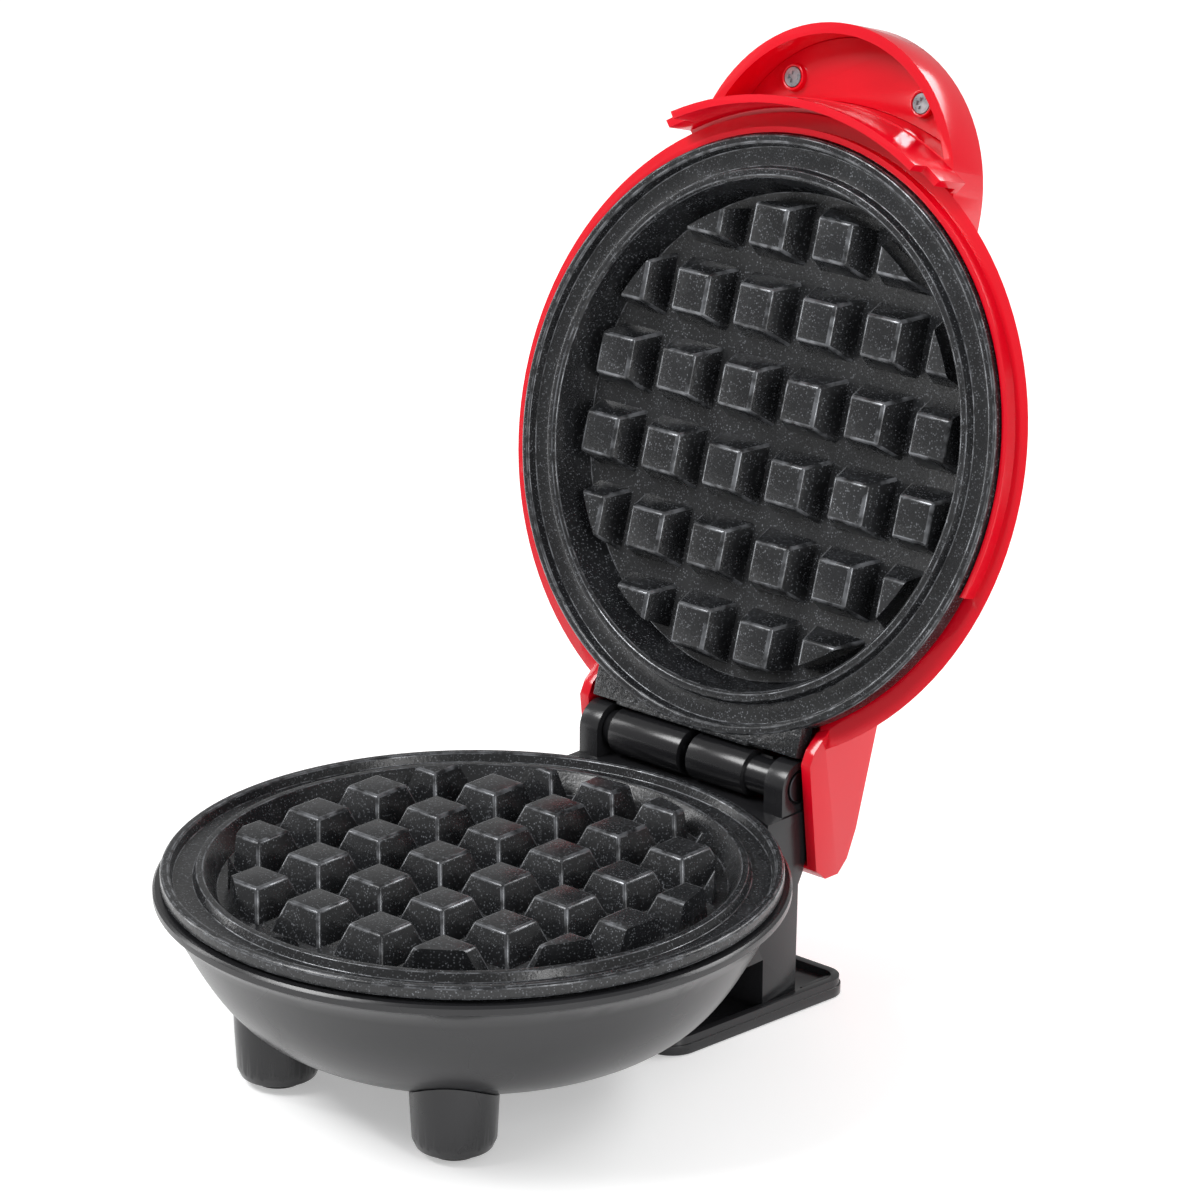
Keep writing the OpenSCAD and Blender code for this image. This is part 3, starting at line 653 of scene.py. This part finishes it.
def upper_cooking_plate():
    """Deep cast plate with a centred pyramid field and a raw cast flange toward the hinge."""
    sizes = bpy.context.scene.waffle_plates
    top, floor_r = rim_outline(sizes.up_deep)
    back = sizes.up_deep + sizes.thickness
    outline = top + [(PLATE_R, -3.9 * MM), (PLATE_R - 2.6 * MM, -4 * MM), (PLATE_R - 2.8 * MM, -4.9 * MM),
                     (floor_r + 3.6 * MM, -5.4 * MM), (floor_r + 2.2 * MM, 1.6 * MM - back),
                     (floor_r, -back), (0.0, -back)]
    centre = PLATE_CENTRE + Vector((0, 0, SHUT_GAP))
    dish = turned("upper_dish", outline, centre)
    # second material: painted highlight on the rounded rim edges
    paint(dish, "coated_cast_aluminium", "painted_highlight_edge")
    round_edges(dish, 0.16 * MM, 2, 22, 35, True)
    floor = centre - Vector((0, 0, sizes.up_deep))
    field = pyramids("upper_pyramids", floor, sizes.pitch / 2, sizes.pitch / 2, floor_r - 2.2 * MM)
    plate = join("upper_cooking_plate", [dish, field])
    # the plate was drawn face up; it hangs face down in the shut lid
    plate.matrix_world = (Matrix.Translation(centre) @ Euler((math.pi, 0, 0)).to_matrix().to_4x4()
                          @ Matrix.Translation(-centre)) @ plate.matrix_world
    settle(plate)
    low = centre + Vector((-27 * MM, 44 * MM, 0.2 * MM))
    high = centre + Vector((27 * MM, 59.7 * MM, 4.0 * MM))
    flange = block("flange", low, high)
    cut(flange, drum("rim_room", centre, PLATE_R - 1.2 * MM, 30 * MM, sides=144))
    tongue = block("tongue", centre + Vector((-20.5 * MM, 59.2 * MM, 0.2 * MM)),
                   centre + Vector((14.5 * MM, 60.3 * MM, 4.0 * MM)))
    for part in (flange, tongue):
        round_edges(part, 0.35 * MM, 2, 30, 35)
    flange = join("flange", [flange, tongue])
    paint(flange, "coated_cast_aluminium_raw")
    plate = join("upper_cooking_plate", [plate, flange])
    open_lid(plate)
    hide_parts("upper_plate")
    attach(plate, "lid")


# ---------- shells, stand and hinge ----------

def lid_pieces():
    """Red shell and handle panel from the CAD with moulded edges."""
    shell = from_cad("lid_shell_red", "lid_shell", 0.5 * MM, 3, 34)
    keep(shell, "lid", "lid_red", "glossy_red_abs")
    panel = from_cad("handle_panel_red", "handle_insert", 0.25 * MM, 2, 34)
    keep(panel, "lid", "lid_red", "glossy_red_abs")


def base_pieces():
    """Bowl, feet, stand column and base plate with moulded edges."""
    rounding = {"bowl": 0.45, "foot_left": 0.6, "foot_right": 0.6, "column": 0.5, "base_plate": 0.4,
                "wrap_core": 0.4}
    for node, width in rounding.items():
        piece = from_cad(node + "_moulded", node, width * MM, 3 if node != "base_plate" else 2, 34)
        keep(piece, "base", "base_black", "satin_black_abs")


def hinge_pieces():
    """Barrels on the lid side and the pin between the stand's lugs."""
    leaf = from_cad("hinge_barrels", "hinge_leaf", 0.45 * MM, 3, 34)
    keep(leaf, "lid", "leaf_black", "gloss_black_nylon")
    pin = from_cad("hinge_pin_turned", "hinge_pin", 0.3 * MM, 3, 34)
    keep(pin, "base", "pin_steel", "black_oxide_steel")


def small_parts():
    """Finishes for the CAD pieces whose shapes are already right."""
    looks = {
        "zinc_plated_steel": ["plate_screws", "foot_screws", "core_screws", "column_screws", "leaf_screws",
                              "lid_studs", "handle_screws"],
        "heat_tinted_steel": ["lower_heater", "upper_heater"],
        "rolled_aluminium": ["lower_reflector", "upper_reflector"],
        "unglazed_steatite": ["terminal_block", "thermal_fuse"],
        "stamped_brass": ["earth_lug"],
        "matt_rubber": ["foot_pads", "base_pads"],
        "gland_rubber": ["cord_gland"],
        "dark_phenolic": ["thermostat"],
        "amber_polycarbonate": ["lamp_lens"],
    }
    for name, nodes in looks.items():
        for node in nodes:
            paint(frame["nodes"][node], name)


# ---------- stage ----------

def sweep_material():
    """White card: it answers camera and reflection rays as plain white and still takes a soft shadow."""
    made, tree, shader = start_material("white_sweep", Roughness=0.9)
    shader.inputs["Base Color"].default_value = tint("#F2F2F2")
    ray = add_node(tree, "ShaderNodeLightPath")
    seen = add_node(tree, "ShaderNodeMath", {"operation": "MAXIMUM"},
                    links=[(0, ray, "Is Camera Ray"), (1, ray, "Is Glossy Ray")])
    seen = add_node(tree, "ShaderNodeMath", {"operation": "MAXIMUM"},
                    links=[(0, seen, "Value"), (1, ray, "Is Transmission Ray")])
    glow = add_node(tree, "ShaderNodeEmission", values={"Color": (1, 1, 1, 1), "Strength": 0.35})
    lift = add_node(tree, "ShaderNodeMath", {"operation": "MULTIPLY"}, values={1: 1.0},
                    links=[(0, seen, "Value")])
    dark = add_node(tree, "ShaderNodeEmission", values={"Strength": 0.0})
    chosen = add_node(tree, "ShaderNodeMixShader", links=[("Fac", lift, "Value"), (1, dark, "Emission"),
                                                         (2, glow, "Emission")])
    both = add_node(tree, "ShaderNodeAddShader", links=[(0, shader, "BSDF"), (1, chosen, "Shader")])
    out = tree.nodes["Material Output"]
    tree.links.new(both.outputs["Shader"], out.inputs["Surface"])
    return made


def white_world():
    """Even white surroundings, full white only where they are seen directly or through clear parts."""
    world = bpy.data.worlds.new("white_room")
    bpy.context.scene.world = world
    world.use_nodes = True
    tree = world.node_tree
    back = tree.nodes["Background"]
    back.inputs["Color"].default_value = (1, 1, 1, 1)
    ray = add_node(tree, "ShaderNodeLightPath")
    seen = add_node(tree, "ShaderNodeMath", {"operation": "MAXIMUM"},
                    links=[(0, ray, "Is Camera Ray"), (1, ray, "Is Transmission Ray")])
    level = add_node(tree, "ShaderNodeMapRange", values={"To Min": 0.42, "To Max": 1.0},
                     links=[("Value", seen, "Value")])
    tree.links.new(level.outputs["Result"], back.inputs["Strength"])


def lamp(name, place, target, size, power):
    """A soft rectangular lamp aimed at a point."""
    clear_selection()
    bpy.ops.object.light_add(type="AREA", location=place)
    made = bpy.context.object
    made.name = name
    made.data.shape = "RECTANGLE"
    made.data.size, made.data.size_y = size
    made.data.energy = power
    made.rotation_euler = (Vector(target) - Vector(place)).to_track_quat("-Z", "Y").to_euler()


def studio():
    """Floor, lamps, world and camera."""
    look = bpy.context.scene.waffle_stage
    clear_selection()
    bpy.ops.mesh.primitive_plane_add(size=14, location=(0, 0, -0.0002))
    floor = new_piece("floor_sweep")
    floor.data.materials.append(sweep_material())
    white_world()
    middle = (0, 0.0, 0.09)
    lamp("key", (-0.45, -0.7, 1.0), middle, (0.5, 0.4), look.key_power)
    lamp("strip_right", (1.0, -0.35, 0.35), middle, (0.16, 1.0), look.key_power * 0.5)
    lamp("strip_left", (-0.95, -0.35, 0.3), middle, (0.16, 1.0), look.key_power * 0.35)
    lamp("back", (0.3, 0.9, 0.8), middle, (0.9, 0.3), look.key_power * 0.8)
    clear_selection()
    bpy.ops.object.camera_add()
    camera = bpy.context.object
    camera.name = "camera"
    camera.data.sensor_width = 36
    camera.data.lens = look.lens
    back = Vector((math.sin(look.azimuth) * math.cos(look.elevation),
                   -math.cos(look.azimuth) * math.cos(look.elevation), math.sin(look.elevation)))
    camera.location = Vector(look.target) + back * look.distance
    aim = (-back).to_track_quat("-Z", "Y").to_matrix().to_4x4()
    camera.rotation_euler = (aim @ Matrix.Rotation(look.roll, 4, "Z")).to_euler()
    bpy.context.scene.camera = camera
    bpy.context.scene.view_settings.view_transform = "Standard"


# ---------- operators ----------

class WAFFLE_OT_lower_plate(bpy.types.Operator):
    """Build the lower cooking plate"""

    bl_idname = "waffle.lower_plate"
    bl_label = "Lower Cooking Plate"

    def execute(self, context):
        lower_cooking_plate()
        return {"FINISHED"}


class WAFFLE_OT_upper_plate(bpy.types.Operator):
    """Build the upper cooking plate"""

    bl_idname = "waffle.upper_plate"
    bl_label = "Upper Cooking Plate"

    def execute(self, context):
        upper_cooking_plate()
        return {"FINISHED"}


class WAFFLE_OT_lid(bpy.types.Operator):
    """Build the red lid shell and its handle panel"""

    bl_idname = "waffle.lid"
    bl_label = "Lid Shell"

    def execute(self, context):
        lid_pieces()
        return {"FINISHED"}


class WAFFLE_OT_base(bpy.types.Operator):
    """Build the bowl, the feet and the stand"""

    bl_idname = "waffle.base"
    bl_label = "Bowl and Stand"

    def execute(self, context):
        base_pieces()
        return {"FINISHED"}


class WAFFLE_OT_hinge(bpy.types.Operator):
    """Build the hinge barrels and pin"""

    bl_idname = "waffle.hinge"
    bl_label = "Hinge"

    def execute(self, context):
        hinge_pieces()
        return {"FINISHED"}


class WAFFLE_OT_small_parts(bpy.types.Operator):
    """Give the fasteners, heaters and inner parts their finishes"""

    bl_idname = "waffle.small_parts"
    bl_label = "Small Parts"

    def execute(self, context):
        small_parts()
        return {"FINISHED"}


class WAFFLE_OT_stage(bpy.types.Operator):
    """Set up the floor, lamps, world and camera"""

    bl_idname = "waffle.stage"
    bl_label = "Stage"

    def execute(self, context):
        studio()
        return {"FINISHED"}


class WAFFLE_PT_panel(bpy.types.Panel):
    """Lists the build steps and their settings"""

    bl_idname = "WAFFLE_PT_panel"
    bl_label = "Mini Waffle Maker"
    bl_space_type = "VIEW_3D"
    bl_region_type = "UI"
    bl_category = "Waffle Maker"

    def draw(self, context):
        for group in (context.scene.waffle_plates, context.scene.waffle_finish, context.scene.waffle_stage):
            part = self.layout.box()
            for name in group.bl_rna.properties.keys():
                if name not in {"rna_type", "name"}:
                    part.prop(group, name)
        for step in STEPS:
            self.layout.operator(step.bl_idname)


SETTINGS = {
    "waffle_plates": WafflePlateSettings,
    "waffle_finish": WaffleFinishSettings,
    "waffle_stage": WaffleStageSettings,
}
STEPS = (WAFFLE_OT_lower_plate, WAFFLE_OT_upper_plate, WAFFLE_OT_lid, WAFFLE_OT_base, WAFFLE_OT_hinge,
         WAFFLE_OT_small_parts, WAFFLE_OT_stage)


def register():
    for kind in (*SETTINGS.values(), *STEPS, WAFFLE_PT_panel):
        bpy.utils.register_class(kind)
    for name, kind in SETTINGS.items():
        setattr(bpy.types.Scene, name, bpy.props.PointerProperty(type=kind))


def unregister():
    for name in SETTINGS:
        delattr(bpy.types.Scene, name)
    for kind in reversed((*SETTINGS.values(), *STEPS, WAFFLE_PT_panel)):
        bpy.utils.unregister_class(kind)


def main():
    register()
    bpy.ops.waffle.lower_plate()
    bpy.ops.waffle.upper_plate()
    bpy.ops.waffle.lid()
    bpy.ops.waffle.base()
    bpy.ops.waffle.hinge()
    bpy.ops.waffle.small_parts()
    bpy.ops.waffle.stage()
    bpy.context.view_layer.update()


if __name__ == "__main__":
    main()
